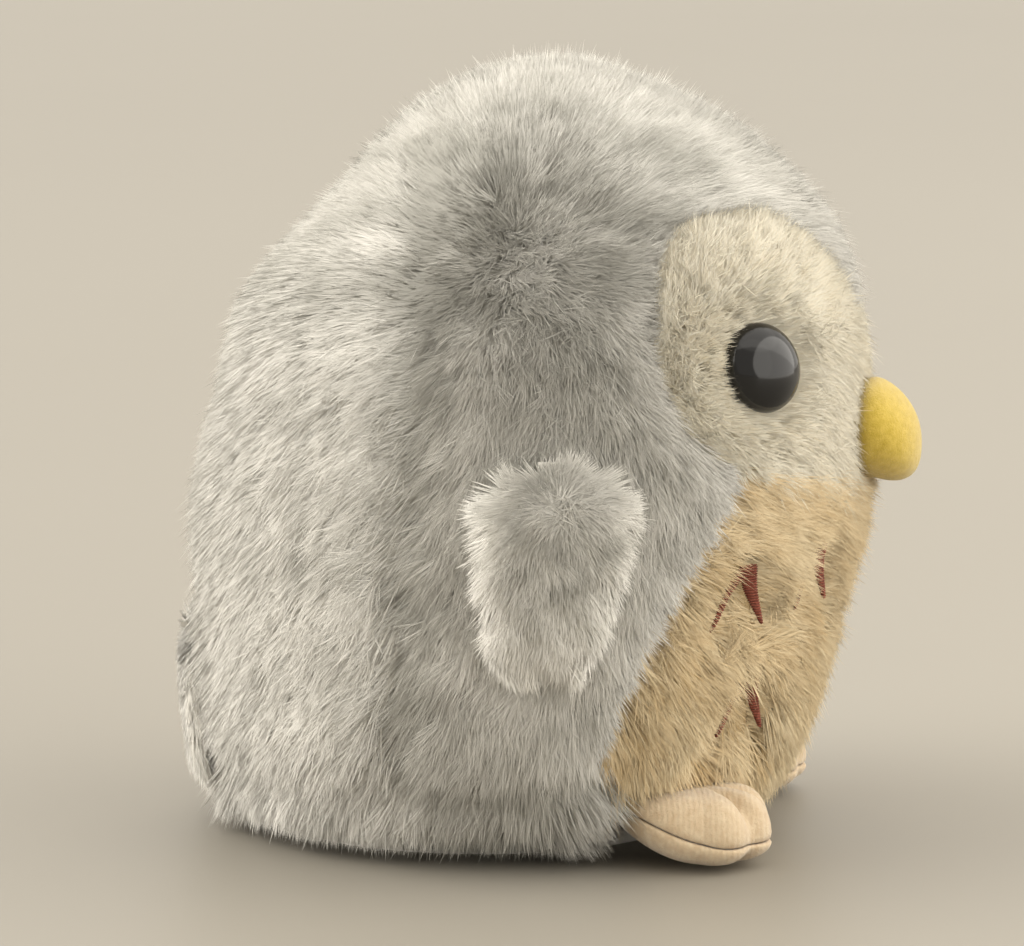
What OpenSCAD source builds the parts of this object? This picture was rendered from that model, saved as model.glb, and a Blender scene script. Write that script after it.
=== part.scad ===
// Sitting owl chick, a small plush toy. Millimetres, +Z up, the bird looks along -Y,
// its right side is -X, and the origin is on the floor under the middle of the whole toy.
//
// Every outer panel follows one body skin, skin(turn, fall):
//   turn is the bearing in degrees round the upright axis, 0 in front and -90 on the right,
//   fall runs from 0 at the crown to 1 at the floor.
// The skin is the level of the fur tips, and a panel is the fabric and the pile on it.

/* [Body] */
// Height of the crown above the floor
crown_height = 107.5; // [100:0.5:115]
// Half width of the body at its widest level
half_width = 48; // [44:0.5:52]
// Thickness of a grey or tan panel, fabric and lying pile together
panel_wall = 4; // [3:0.5:5]
// Thickness of a face panel
face_wall = 5.5; // [5:0.25:6]
// Thickness of the flat panel underneath
base_wall = 3; // [2:0.5:3]

/* [Eyes] */
// Diameter of the glossy dome
eye_diameter = 12.6; // [10:0.2:14]
// Height of the dome over its flange
eye_dome = 4.6; // [3:0.2:5]
// Depth at which the flange sits under the fur tips
eye_sink = 3.4; // [3:0.1:3.5]
// Diameter of the stem behind the fabric
stem_diameter = 4; // [3:0.5:4.5]

/* [Beak] */
// How far forward of the origin the tip of the beak reaches
beak_reach = 52.4; // [50:0.2:54]
// Half width of the beak where it is sewn in
beak_half_width = 8.5; // [6:0.5:10]
// Half height of the beak where it is sewn in
beak_half_height = 7; // [5:0.5:8]

/* [Wings] */
// Height of the sewn top edge of a wing
wing_top = 59.5; // [56:0.5:62]
// Height of the tip of a wing
wing_tip = 28; // [24:0.5:32]
// Half width of a wing, in degrees of turn round the body
wing_spread = 16.2; // [12:0.2:18]
// Thickness of the furry outer layer of a wing
wing_pile = 4; // [3:0.25:5]

/* [Tail] */
// Height of the sewn top edge of the tail
tail_top = 27.5; // [26:0.5:32]
// Half width of the tail flap
tail_half_width = 13; // [9:0.5:15]

/* [Feet] */
// Half length of a foot, heel to toes
foot_half_length = 11; // [9:0.1:12]
// Half width of a foot
foot_half_width = 10.5; // [8:0.1:11]
// Outward turn of the toes in degrees
toe_out = 12; // [0:1:20]

/* [Hidden] */
$fn = 48;

grey_fur = [0.70, 0.69, 0.66];
cream_fur = [0.90, 0.86, 0.75];
tan_fur = [0.80, 0.71, 0.54];
peach_velour = [0.94, 0.84, 0.70];
yellow_felt = [0.90, 0.78, 0.33];
brown_thread = [0.46, 0.28, 0.22];
grey_thread = [0.62, 0.61, 0.58];
white_fibre = [0.96, 0.96, 0.94];
black_plastic = [0.05, 0.05, 0.06];
clear_plastic = [0.85, 0.87, 0.88];

// Levels of the body from the crown down: height, front reach, back reach, half width.
levels = [
    [crown_height, -1, -1, 0],
    [105, -12, 10.5, 13],
    [98.5, -26, 21, 25],
    [88.5, -37.5, 31, 35],
    [76.5, -43.5, 41.5, 42],
    [62.5, -45.5, 46.5, half_width - 2],
    [46.5, -45.5, 50, half_width],
    [30.5, -42, 49.5, half_width - 0.5],
    [16.5, -38, 49, 44.5],
    [6, -32, 47, 38],
    [0, -20, 40, 27]
];
last_level = len(levels) - 1;
core = [0, 2, 48];

// Room left at every seam, in degrees of turn and in fall.
seam_turn = 0.35;
seam_fall = 0.0018;
layer_gap = 0.4;
stitch_radius = 0.45;

// Where the seams run.
pole_fall = 0.012;
band_fall = 0.83;
floor_fall = 0.985;
face_turn = 32;
face_half_turn = 31.5;
face_seam_turn = 1.2;
face_top = 0.283;
face_middle = 0.42;
face_foot = 0.558;
chin_fall = 0.57;
peak_drop = 0.13;
belly_turn = 44;
belly_spread = 19;
side_seam_turn = 102;
band_notch_outer = 66;
band_notch_inner = 13;

eye_turn = -39.8;
eye_fall = 0.453;
eye_tilt = 16;
eye_dent_radius = 12;
washer_depth = 6.9;
washer_height = 1.4;
washer_diameter = 11;
stuffing_dent = 6;
stuffing_dent_radius = 16;

beak_height = 57;
beak_base_reach = 46.2;
beak_droop = 2.4;
beak_wall = 1;
wing_turn = -80;
wing_rows = 10;
wing_columns = 8;
wing_dip = 2.2;
wing_lining_gap = 0.8;
wing_lining_wall = 1.2;
wing_stitches_drop = 2;
wing_stitches_lift = 1.4;
wing_stitches_length = 4.5;
tail_lining_gap = 0.5;
tail_lining_wall = 0.8;
tail_pile = 1.15;
tail_tip = 3;
tail_stitches_length = 14;
foot_centre = [25, -22.8];
foot_sides = 24;
foot_wall = 1.2;
foot_stitches_gap = 0.75;
foot_stitches_height = 8.35;
foot_stitches_length = 8;

bag_wall = 0.8;
bag_top = 14.5;
bag_floor = base_wall + layer_gap;
bag_margin = 7.2;
bag_bulge = 2.2;
pellet_diameter = 3;
pellet_gap = 1.2;
pellet_margin = 11;

mark_size = 9;
mark_height = 0.6;
mark_lift = 0.35;
// Turn and height of each mark.
outer_mark = [-40, 38];
inner_mark = [-16, 39.5];
lower_mark = [-29, 23.5];

// ---------------------------------------------------------------- the body skin

function spline(a, b, c, d, t) =
    ((2 * b) + (c - a) * t + (2 * a - 5 * b + 4 * c - d) * pow(t, 2)
     + (3 * b - a - 3 * c + d) * pow(t, 3)) / 2;

// Past the crown the levels repeat with front and back swapped, so the top is round.
function level(i) =
    i < 0 ? let (l = levels[1]) [l[0], l[2], l[1], -l[3]]
    : i > last_level ? 2 * levels[last_level] - levels[last_level - 1]
    : levels[i];

function ring(fall) =
    let (s = fall * last_level, i = min(floor(s), last_level - 1))
    spline(level(i - 1), level(i), level(i + 1), level(i + 2), s - i);

function skin(turn, fall) =
    let (r = ring(fall), middle = (r[1] + r[2]) / 2, reach = (r[2] - r[1]) / 2)
    [r[3] * sin(turn), middle - reach * cos(turn), r[0]];

function sunk(p, depth) = core + (p - core) * (1 - depth / norm(p - core));

function smooth(x) = let (t = max(0, min(1, x))) t * t * (3 - 2 * t);

// Depth of the hollow round each eye at a point of the skin.
function hollow(p, depth, radius) =
    let (q = [-abs(p[0]), p[1], p[2]], away = norm(q - skin(eye_turn, eye_fall)))
    depth * smooth(1.6 * (1 - away / radius));

function outer_point(turn, fall) =
    let (p = skin(turn, fall)) sunk(p, hollow(p, eye_sink, eye_dent_radius));

function inner_point(turn, fall, wall) = sunk(skin(turn, fall), wall);

// Fall of a height, by halving the range twelve times.
function fall_at(z, low = 0, high = 1, steps = 12) =
    steps == 0 ? (low + high) / 2
    : let (middle = (low + high) / 2)
      ring(middle)[0] > z ? fall_at(z, middle, high, steps - 1)
      : fall_at(z, low, middle, steps - 1);

// ---------------------------------------------------------------- the seam lines

// Upper edge of a face panel, with the peak of grey fur between the two.
function brow(turn) =
    let (t = abs(turn))
    t < face_turn ? face_top + peak_drop * pow((face_turn - t) / face_turn, 1.6)
    : face_middle - (face_middle - face_top)
      * pow(max(0, 1 - pow((t - face_turn) / face_half_turn, 4)), 0.25);

// Lower edge of a face panel.
function chin(turn) =
    let (t = abs(turn))
    t < face_turn ? face_foot + (chin_fall - face_foot) * (1 - pow(t / face_turn, 2))
    : face_middle + (face_foot - face_middle)
      * sqrt(max(0, 1 - pow((t - face_turn) / face_half_turn, 2)));

// Side seam of the belly.
function belly_edge(fall) =
    belly_turn + belly_spread
    * pow(sin(90 * max(0, min(1, (fall - face_foot) / (band_fall - face_foot)))), 0.85);

// Front edge of a side panel: round the cheek, then down the belly.
function cheek(fall) =
    fall < face_middle
    ? face_turn + face_half_turn
      * pow(max(0, 1 - pow((face_middle - fall) / (face_middle - face_top), 4)), 0.25)
    : let (low = face_turn + face_half_turn
             * sqrt(max(0, 1 - pow((fall - face_middle) / (face_foot - face_middle), 2))))
      max(low, belly_edge(fall));

// Seam between a side panel and the back.
function side_seam(fall) = side_seam_turn + 50 * pow(max(0, (0.6 - fall) / 0.5), 2.2);

// Lower edge of the crown panel: the brow in front, then a slant up to the back.
function crown_edge(turn) =
    let (t = abs(turn), corner = 55)
    t < corner ? brow(t)
    : brow(corner) - (brow(corner) - 0.12) * smooth((t - corner) / (180 - corner));

// Fall at which the column at share s of a side panel meets the crown panel. The guess is
// moved half way to the crown edge at its own turn, twenty times.
function side_top(s, guess = 0.25, steps = 20) =
    steps == 0 ? guess
    : side_top(s, (guess + crown_edge(mix(side_seam(guess), cheek(guess), s))) / 2, steps - 1);

// ---------------------------------------------------------------- meshes

// Faces of a grid of points with (columns + 1) points a row, first point at `start`.
function grid_faces(rows, columns, start, flip) =
    [for (i = [0 : rows - 1], j = [0 : columns - 1])
        let (a = start + i * (columns + 1) + j, b = a + 1, d = a + columns + 1, c = d + 1)
        each flip ? [[a, c, b], [a, d, c]] : [[a, b, c], [a, c, d]]];

// Strip between two rows of points given as lists of their numbers.
function strip_faces(first, second) =
    [for (k = [0 : len(first) - 2])
        each [[first[k], second[k], second[k + 1]], [first[k], second[k + 1], first[k + 1]]]];

// Closed sheet between an outer and an inner grid of points.
module sheet(outer, inner, rows, columns) {
    n = len(outer);
    top = [for (j = [0 : columns]) j];
    bottom = [for (j = [columns : -1 : 0]) rows * (columns + 1) + j];
    near = [for (i = [rows : -1 : 0]) i * (columns + 1)];
    far = [for (i = [0 : rows]) i * (columns + 1) + columns];
    shift = [for (k = [0 : n - 1]) k + n];
    polyhedron(
        points = concat(outer, inner),
        faces = concat(
            grid_faces(rows, columns, 0, false),
            grid_faces(rows, columns, n, true),
            [for (edge = [top, far, bottom, near])
                each strip_faces(edge, [for (k = edge) shift[k]])]),
        convexity = 6);
}

// Ring of points closed all the way round: list of rows, each with the same count.
function round_faces(rows, sides, start, flip) =
    [for (i = [0 : rows - 1], j = [0 : sides - 1])
        let (a = start + i * sides + j, b = start + i * sides + (j + 1) % sides,
             d = a + sides, c = b + sides)
        each flip ? [[a, c, b], [a, d, c]] : [[a, b, c], [a, c, d]]];

// Solid of stacked rings from the top ring to the bottom ring, both ends flat.
module stack(rings) {
    sides = len(rings[0]);
    rows = len(rings) - 1;
    polyhedron(
        points = [for (r = rings) each r],
        faces = concat(
            [[for (j = [sides - 1 : -1 : 0]) j]],
            round_faces(rows, sides, 0, false),
            [[for (j = [0 : sides - 1]) rows * sides + j]]),
        convexity = 6);
}

// Bowl between two stacks of rings, closed at the small end and open at the large end.
module bowl(outer, inner) {
    sides = len(outer[0]);
    rows = len(outer) - 1;
    n = sides * (rows + 1);
    polyhedron(
        points = concat([for (r = outer) each r], [for (r = inner) each r]),
        faces = concat(
            [[for (j = [sides - 1 : -1 : 0]) j]],
            round_faces(rows, sides, 0, false),
            [[for (j = [0 : sides - 1]) n + j]],
            round_faces(rows, sides, n, true),
            [for (j = [0 : sides - 1])
                let (a = rows * sides + j, b = rows * sides + (j + 1) % sides)
                each [[a, b, b + n], [a, b + n, a + n]]]),
        convexity = 8);
}

function mix(a, b, t) = a + (b - a) * t;

function backwards(list) = [for (k = [len(list) - 1 : -1 : 0]) list[k]];

// Grid of points over a patch: place(s, t) gives [turn, fall], depth 0 is the outer face.
function patch(place, rows, columns, wall) =
    [for (i = [0 : rows], j = [0 : columns])
        let (q = place(j / columns, i / rows))
        wall == 0 ? outer_point(q[0], q[1]) : inner_point(q[0], q[1], wall)];

module panel(place, rows, columns, wall) {
    sheet(patch(place, rows, columns, 0), patch(place, rows, columns, wall), rows, columns);
}

// The right-hand piece as it is, or its mirror image for the left.
module on_side(left) {
    if (left) mirror([1, 0, 0]) children();
    else children();
}

// ---------------------------------------------------------------- outer panels

module crown_panel() {
    sides = 48;
    rows = 6;
    function rim(k, wall) = [for (j = [0 : sides - 1])
        let (turn = 360 * j / sides, t = turn > 180 ? turn - 360 : turn,
             fall = mix(pole_fall, crown_edge(t) - seam_fall, k / rows))
        wall == 0 ? outer_point(t, fall) : inner_point(t, fall, wall)];
    color(grey_fur)
    bowl([for (k = [0 : rows]) rim(k, 0)], [for (k = [0 : rows]) rim(k, panel_wall)]);
}

module side_panel(left) {
    place = function (s, t)
        let (fall = mix(side_top(s) + 2 * seam_fall, band_fall - seam_fall, t))
        [-mix(side_seam(fall) - seam_turn, cheek(fall) + 2 * seam_turn, s), fall];
    color(grey_fur) on_side(left) panel(place, 16, 8, panel_wall);
}

module back_panel() {
    place = function (s, t)
        let (edge = side_seam(side_top(0)),
             top = crown_edge(180 - abs(mix(edge - 180, 180 - edge, s))),
             fall = mix(top + seam_fall, band_fall - seam_fall, t),
             start = side_seam(fall) + seam_turn)
        [mix(-start, start - 360, s), fall];
    color(grey_fur) panel(place, 14, 20, panel_wall);
}

module face_panel(left) {
    place = function (s, t)
        let (span = face_turn + face_half_turn - face_seam_turn,
             turn = -mix(span, seam_turn, 1 - pow(cos(90 * s), 1.5)))
        [turn, mix(brow(turn) + seam_fall, chin(turn) - seam_fall, t)];
    color(cream_fur) on_side(left) panel(place, 12, 12, face_wall);
}

module belly_panel(left) {
    place = function (s, t)
        let (top = chin(mix(belly_turn, 0, s)) + seam_fall,
             fall = mix(top, band_fall - seam_fall, t))
        [-mix(belly_edge(fall) - seam_turn, seam_turn, s), fall];
    color(tan_fur) on_side(left) panel(place, 9, 8, panel_wall);
}

// Band of fur under the side and back panels, notched for the feet.
module base_band() {
    top = band_fall + seam_fall;
    back = function (s, t)
        [mix(-band_notch_outer, band_notch_outer - 360, s), mix(top, floor_fall, t)];
    front = function (s, t)
        [mix(-band_notch_inner, band_notch_inner, 1 - s), mix(top, floor_fall, t)];
    color(grey_fur) {
        panel(back, 3, 30, panel_wall);
        panel(front, 3, 4, panel_wall);
    }
}

// Flat oval panel that the toy sits on.
module base_panel() {
    rim = ring(1);
    middle = (rim[1] + rim[2]) / 2;
    inset = 0.5;
    color(grey_fur)
    linear_extrude(base_wall)
    polygon([for (a = [0 : 7.5 : 359])
        [(rim[3] - inset) * sin(a), middle - ((rim[2] - rim[1]) / 2 - inset) * cos(a)]]);
}

// ---------------------------------------------------------------- filling

module body_stuffing() {
    sides = 36;
    rows = 14;
    gap = face_wall + layer_gap;
    color(white_fibre)
    stack([for (k = [0 : rows])
        [for (j = [0 : sides - 1])
            let (fall = mix(0.02, 0.79, k / rows), p = skin(360 * j / sides, fall))
            sunk(p, gap + hollow(p, stuffing_dent, stuffing_dent_radius))]]);
}

// Cushion outline of the pellet bag at height share h, 0 at its floor and 1 at its top.
function bag_ring(h, inset) =
    let (rim = ring(1), middle = (rim[1] + rim[2]) / 2,
         bulge = bag_bulge * sin(180 * h) - bag_margin - inset)
    [for (j = [0 : 31])
        let (a = 360 * j / 32)
        [(rim[3] + bulge) * sin(a), middle - ((rim[2] - rim[1]) / 2 + bulge) * cos(a),
         mix(bag_floor + inset, bag_top - inset, h)]];

// Two sewn halves, an upper and a lower one, that meet at the waist of the bag.
module pellet_bag() {
    waist = 0.5;
    share = 0.02;
    steps = [0, 0.5, 1];
    module half(way) {
        function one(k, inset) = bag_ring(waist + way * (share + (waist - share) * (1 - k)), inset);
        function rings(inset) =
            [for (k = steps) way > 0 ? one(k, inset) : backwards(one(k, inset))];
        bowl(rings(0), rings(bag_wall));
    }
    color(white_fibre) {
        half(1);
        half(-1);
    }
}

// Round plastic pellets, in layers of a square grid inside the bag.
module pellets() {
    rim = ring(1);
    middle = (rim[1] + rim[2]) / 2;
    pitch = pellet_diameter + pellet_gap;
    reach = [rim[3] - pellet_margin, (rim[2] - rim[1]) / 2 - pellet_margin];
    first = bag_floor + bag_wall + pellet_diameter / 2 + 0.2;
    color(clear_plastic)
    for (layer = [0 : 1], ix = [-3 : 3], iy = [-4 : 4]) {
        x = (ix + layer / 2) * pitch;
        y = (iy + layer / 2) * pitch;
        if (pow(x / reach[0], 2) + pow(y / reach[1], 2) < 1)
            translate([x, middle + y, first + layer * (pellet_diameter + 0.4)])
            sphere(d = pellet_diameter);
    }
}

// ---------------------------------------------------------------- eyes

// Stands children on the right eye's place, with +Z out of the face.
module at_eye() {
    translate(skin(eye_turn, eye_fall))
    rotate([0, 0, eye_turn - 90])
    rotate([0, 90 - eye_tilt, 0])
    children();
}

// Dome, flange and stem of a safety eye, turned about its own axis.
module eye_button(left) {
    radius = eye_diameter / 2;
    lens = radius - 0.9;
    flange = 0.7;
    stem_end = washer_depth + washer_height + 1;
    arc = [for (a = [0 : 10 : 90]) [lens * cos(a), flange + (eye_dome - flange) * sin(a)]];
    color(black_plastic) on_side(left) at_eye()
    translate([0, 0, -eye_sink + 0.1])
    rotate_extrude()
    polygon(concat(
        [[0, -stem_end + eye_sink], [stem_diameter / 2 - 0.5, -stem_end + eye_sink],
         [stem_diameter / 2, -stem_end + eye_sink + 0.8], [stem_diameter / 2, 0],
         [radius - 0.3, 0], [radius, 0.3], [radius - 0.2, flange]],
        arc));
}

module eye_washer(left) {
    color(clear_plastic) on_side(left) at_eye()
    translate([0, 0, -washer_depth - washer_height])
    difference() {
        cylinder(d = washer_diameter, h = washer_height);
        translate([0, 0, -1]) cylinder(d = stem_diameter + 0.1, h = washer_height + 2);
    }
}

// ---------------------------------------------------------------- beak

// One ring of the beak: share 0 is the tip and share 1 the sewn edge.
function beak_ring(share, inset) =
    let (depth = beak_reach - beak_base_reach,
         a = 90 * share,
         wide = (beak_half_width - inset) * pow(sin(a), 0.8),
         tall = (beak_half_height - inset) * pow(sin(a), 0.8),
         y = -beak_reach + inset * cos(a) + depth * (1 - cos(a)),
         droop = -beak_droop * pow(cos(a), 1.2))
    [for (j = [0 : 23])
        let (b = 360 * j / 24)
        [wide * sin(b), y, beak_height + droop + tall * cos(b)]];

module beak_cover() {
    shares = [0.06, 0.25, 0.45, 0.65, 0.85, 1];
    color(yellow_felt)
    bowl([for (s = shares) beak_ring(s, 0)], [for (s = shares) beak_ring(s, beak_wall)]);
}

module beak_stuffing() {
    shares = [0.06, 0.25, 0.45, 0.65, 0.85, 0.98];
    color(white_fibre) stack([for (s = shares) beak_ring(s, beak_wall + 0.3)]);
}

// ---------------------------------------------------------------- belly marks

// Stands children flat on the skin at a turn and a height, with +Z out of the body.
module on_belly(turn, z) {
    fall = fall_at(z);
    here = skin(turn, fall);
    across = skin(turn + 1, fall) - skin(turn - 1, fall);
    down = skin(turn, fall + 0.01) - skin(turn, fall - 0.01);
    out = cross(down, across) / norm(cross(down, across));
    bearing = atan2(out[1], out[0]);
    lean = acos(out[2]);
    translate(here + out * mark_lift) rotate([0, 0, bearing]) rotate([0, lean, 0])
    rotate([0, 0, 90]) children();
}

// Embroidered peak: two tapering strokes that meet at the top.
module belly_mark(left, place) {
    half = mark_size / 2;
    color(brown_thread) on_side(left) on_belly(place[0], place[1])
    linear_extrude(mark_height)
    polygon([[0, half], [half * 0.95, -half], [half * 0.6, -half], [0, half * 0.3],
             [-half * 0.6, -half], [-half * 0.95, -half]]);
}

// ---------------------------------------------------------------- wings

// Half width of a wing in degrees at share t from its top edge to its tip.
function wing_half(t) =
    wing_spread * (1 - 0.55 * pow(t, 1.6)) * sqrt(max(0, 1 - pow(abs(2 * t - 1), 6)));

// Point of a wing layer: s from -1 to 1 across, t down, lift out from the skin.
function wing_point(s, t, lift) =
    let (dip = wing_dip * pow(cos(90 * s), 2) * (1 - smooth(t / 0.4)),
         z = mix(wing_top, wing_tip, t) - dip,
         fall = fall_at(z),
         p = skin(wing_turn + s * wing_half(t), fall))
    sunk(p, -lift);

module wing_layer(left, near, far) {
    steps = [for (i = [0 : wing_rows]) mix(0.03, 0.985, i / wing_rows)];
    function row(t, lift) = [for (j = [0 : wing_columns])
        let (s = 1 - 2 * j / wing_columns, full = sqrt(1 - 0.75 * pow(s, 4)))
        wing_point(s, t, near + (lift - near) * full)];
    on_side(left)
    sheet([for (t = steps) each row(t, far)], [for (t = steps) each row(t, near)],
          wing_rows, wing_columns);
}

module wing_lining(left) {
    color(grey_fur) wing_layer(left, wing_lining_gap, wing_lining_gap + wing_lining_wall);
}

module wing_outer(left) {
    near = wing_lining_gap + wing_lining_wall + 0.3;
    color(grey_fur) wing_layer(left, near, near + wing_pile);
}

// Thread along the sewn edge of a wing, which is the line that it swings about.
module wing_stitches(left) {
    hinge = sunk(skin(wing_turn, fall_at(wing_top - wing_stitches_drop)), -wing_stitches_lift);
    color(grey_thread) on_side(left)
    translate(hinge)
    rotate([0, 0, wing_turn + 180])
    rotate([0, 90, 0])
    cylinder(r = stitch_radius, h = wing_stitches_length, center = true);
}

// ---------------------------------------------------------------- tail

function tail_point(s, t, lift) =
    let (z = mix(tail_top, tail_tip, t),
         half = tail_half_width * (1 - 0.2 * pow(t, 3)) * sqrt(max(0, 1 - pow(t, 10))),
         fall = fall_at(z),
         r = ring(fall),
         turn = 180 + asin(s * half / r[3]))
    skin(turn, fall) + [0, lift, 0];

module tail_layer(near, far) {
    rows = 8;
    columns = 8;
    steps = [for (i = [0 : rows]) mix(0.02, 0.96, i / rows)];
    function row(t, lift) = [for (j = [0 : columns]) tail_point(1 - 2 * j / columns, t, lift)];
    sheet([for (t = steps) each row(t, far)], [for (t = steps) each row(t, near)],
          rows, columns);
}

module tail_lining() {
    color(grey_fur) tail_layer(tail_lining_gap, tail_lining_gap + tail_lining_wall);
}

module tail_outer() {
    near = tail_lining_gap + tail_lining_wall + 0.3;
    color(grey_fur) tail_layer(near, near + tail_pile);
}

module tail_stitches() {
    color(grey_thread)
    translate([0, skin(180, fall_at(tail_top))[1] + 1.4, tail_top + 0.5])
    rotate([0, 90, 0])
    cylinder(r = stitch_radius, h = tail_stitches_length, center = true);
}

// ---------------------------------------------------------------- feet

// Plan outline of a foot at bearing a from the toes: three rounded toes in front.
function foot_reach(a) =
    let (t = abs(a > 180 ? a - 360 : a))
    1 + (t < 60 ? 0.07 * abs(cos(4.5 * t)) : 0);

// Height of the side seam of a foot, low at the toes and high at the heel.
function foot_seam(back) = 2.6 + 5.6 * smooth((back + 9) / 18);

// Point of a foot: share 0 at the middle and 1 at the seam, upper or sole side.
function foot_point(a, share, upper, inset) =
    let (r = share * foot_reach(a),
         x = (foot_half_width - inset) * r * sin(a),
         back = -(foot_half_length - inset) * r * cos(a),
         rear = smooth((back + 9) / 18),
         dome = sqrt(max(0, 1 - pow(share, 2.6))),
         rise = upper ? mix(8.2, 2.8, rear) - inset : -(mix(2.2, 3.2, rear) - inset),
         z = foot_seam(back) + (upper ? 0.15 : -0.15) + rise * dome)
    [-foot_centre[0] - x * cos(toe_out) + (back * sin(toe_out)),
     foot_centre[1] + back * cos(toe_out) + x * sin(toe_out), z];

foot_shares = [0.12, 0.5, 0.82, 1];

function foot_ring(share, upper, inset) =
    [for (j = [0 : foot_sides - 1]) foot_point(360 * j / foot_sides, share, upper, inset)];

module foot_upper(left) {
    color(peach_velour) on_side(left)
    bowl([for (s = foot_shares) foot_ring(s, true, 0)],
         [for (s = foot_shares) foot_ring(s, true, foot_wall)]);
}

module foot_sole(left) {
    color(peach_velour) on_side(left)
    bowl([for (s = foot_shares) backwards(foot_ring(s, false, 0))],
         [for (s = foot_shares) backwards(foot_ring(s, false, foot_wall))]);
}

// Thread along the heel of a foot, which is the line that it tilts about.
module foot_stitches(left) {
    heel = foot_half_length + foot_stitches_gap;
    color(grey_thread) on_side(left)
    translate([-foot_centre[0] + heel * sin(toe_out), foot_centre[1] + heel * cos(toe_out),
               foot_stitches_height])
    rotate([0, 0, -toe_out])
    rotate([0, 90, 0])
    cylinder(r = stitch_radius, h = foot_stitches_length, center = true);
}

module foot_stuffing(left) {
    inset = foot_wall + layer_gap;
    rings = concat(
        [for (s = foot_shares) foot_ring(s, true, inset)],
        [for (s = backwards(foot_shares)) foot_ring(s, false, inset)]);
    color(white_fibre) on_side(left) stack(rings);
}

// ---------------------------------------------------------------- nodes

crown_panel();
back_panel();
side_panel(true);  // side_panel_left
side_panel(false);  // side_panel_right
face_panel(true);  // face_panel_left
face_panel(false);  // face_panel_right
belly_panel(true);  // belly_panel_left
belly_panel(false);  // belly_panel_right
base_band();
base_panel();
body_stuffing();
pellet_bag();
pellets();
eye_button(true);  // eye_button_left
eye_button(false);  // eye_button_right
eye_washer(true);  // eye_washer_left
eye_washer(false);  // eye_washer_right
beak_cover();
beak_stuffing();
belly_mark(true, outer_mark);  // belly_mark_outer_left
belly_mark(false, outer_mark);  // belly_mark_outer_right
belly_mark(true, inner_mark);  // belly_mark_inner_left
belly_mark(false, inner_mark);  // belly_mark_inner_right
belly_mark(true, lower_mark);  // belly_mark_lower_left
belly_mark(false, lower_mark);  // belly_mark_lower_right
wing_outer(true);  // wing_outer_left
wing_outer(false);  // wing_outer_right
wing_lining(true);  // wing_lining_left
wing_lining(false);  // wing_lining_right
wing_stitches(true);  // wing_stitches_left
wing_stitches(false);  // wing_stitches_right
tail_outer();
tail_lining();
tail_stitches();
foot_upper(true);  // foot_upper_left
foot_upper(false);  // foot_upper_right
foot_sole(true);  // foot_sole_left
foot_sole(false);  // foot_sole_right
foot_stuffing(true);  // foot_stuffing_left
foot_stuffing(false);  // foot_stuffing_right
foot_stitches(true);  // foot_stitches_left
foot_stitches(false);  // foot_stitches_right
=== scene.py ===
from math import cos, pi, radians, sin

import bmesh
import bpy
import numpy as np
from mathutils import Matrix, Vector


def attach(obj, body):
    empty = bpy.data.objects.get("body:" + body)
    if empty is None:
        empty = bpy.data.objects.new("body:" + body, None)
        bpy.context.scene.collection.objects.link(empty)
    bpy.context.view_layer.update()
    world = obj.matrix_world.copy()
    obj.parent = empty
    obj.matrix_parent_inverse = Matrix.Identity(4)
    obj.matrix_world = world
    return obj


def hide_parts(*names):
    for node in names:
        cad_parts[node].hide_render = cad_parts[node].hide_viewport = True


# A small sitting plush owl chick. Shapes are worked out in millimetres, in the packed
# model's frame: +Z up, the bird looks along -Y, its right side is -X.

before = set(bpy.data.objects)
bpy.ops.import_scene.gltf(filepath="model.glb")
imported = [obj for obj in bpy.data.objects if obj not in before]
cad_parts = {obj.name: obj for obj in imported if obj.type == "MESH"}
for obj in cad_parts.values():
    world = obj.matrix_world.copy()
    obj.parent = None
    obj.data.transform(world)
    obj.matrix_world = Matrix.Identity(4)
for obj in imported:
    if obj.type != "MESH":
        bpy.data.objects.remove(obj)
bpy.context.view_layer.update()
MM = 0.001
RNG = np.random.default_rng(20)

# ------------------------------------------------------------------ the body's measures

# Levels of the body from the crown down: height, front reach, back reach, half width.
LEVELS = np.array([
    [107.5, -1, -1, 0], [105, -12, 10.5, 13], [98.5, -26, 21, 25], [88.5, -37.5, 31, 35],
    [76.5, -43.5, 41.5, 42], [62.5, -45.5, 46.5, 46], [46.5, -45.5, 50, 48],
    [30.5, -42, 49.5, 47.5], [16.5, -38, 49, 44.5], [6, -32, 47, 38], [0, -20, 40, 27]])
POLE_FALL, BAND_FALL, FLOOR_FALL = 0.012, 0.83, 0.985
FALL_MM = 122  # length of the skin from fall 0 to 1, about
PILE = 4.3  # height of the pile over its backing cloth
WHORL = (-105, 0.25)  # turn and fall that the grey pile of a side spreads from
EYE = (-39.8, 0.453)  # turn and fall of the right eye
EYE_TILT = 16  # how far it looks up, in degrees
EYE_SINK = 3.3  # depth of its rim under the skin
EYE_RADIUS = 6.3
FACE_TOP, FACE_WIDEST, FACE_BOTTOM = 0.283, 0.42, 0.558  # falls of a face patch
FACE_RISE, FACE_DROP = 0.137, 0.138  # from its widest level to its top and to its bottom
PEAK_TURN, FACE_SPAN = 32, 31.5  # half width of the grey peak, and of the face beyond it
WING_TURN, WING_TOP, WING_TIP = -79, 60, 27.4  # middle turn and heights of a wing
WING_HINGE = (-80.0, 57.5)  # turn and height of its stitches
TAIL_TOP, TAIL_TIP = 27.5, 3
# Turn and height of the middle of each belly mark on the right half.
MARKS = {"outer": (-41.5, 37.5), "inner": (-20.5, 38.5), "lower": (-34, 21.5)}


def smooth(x):
    """Slow at both ends: 3x^2 - 2x^3 with x held between 0 and 1."""
    x = np.clip(x, 0, 1)
    return x * x * (3 - 2 * x)


def mix(a, b, t):
    return a + (b - a) * t


def bump(x):
    """Bell that is 1 at 0 and dies off past 1: e to the power of minus x squared."""
    return np.exp(-np.square(x))


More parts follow.
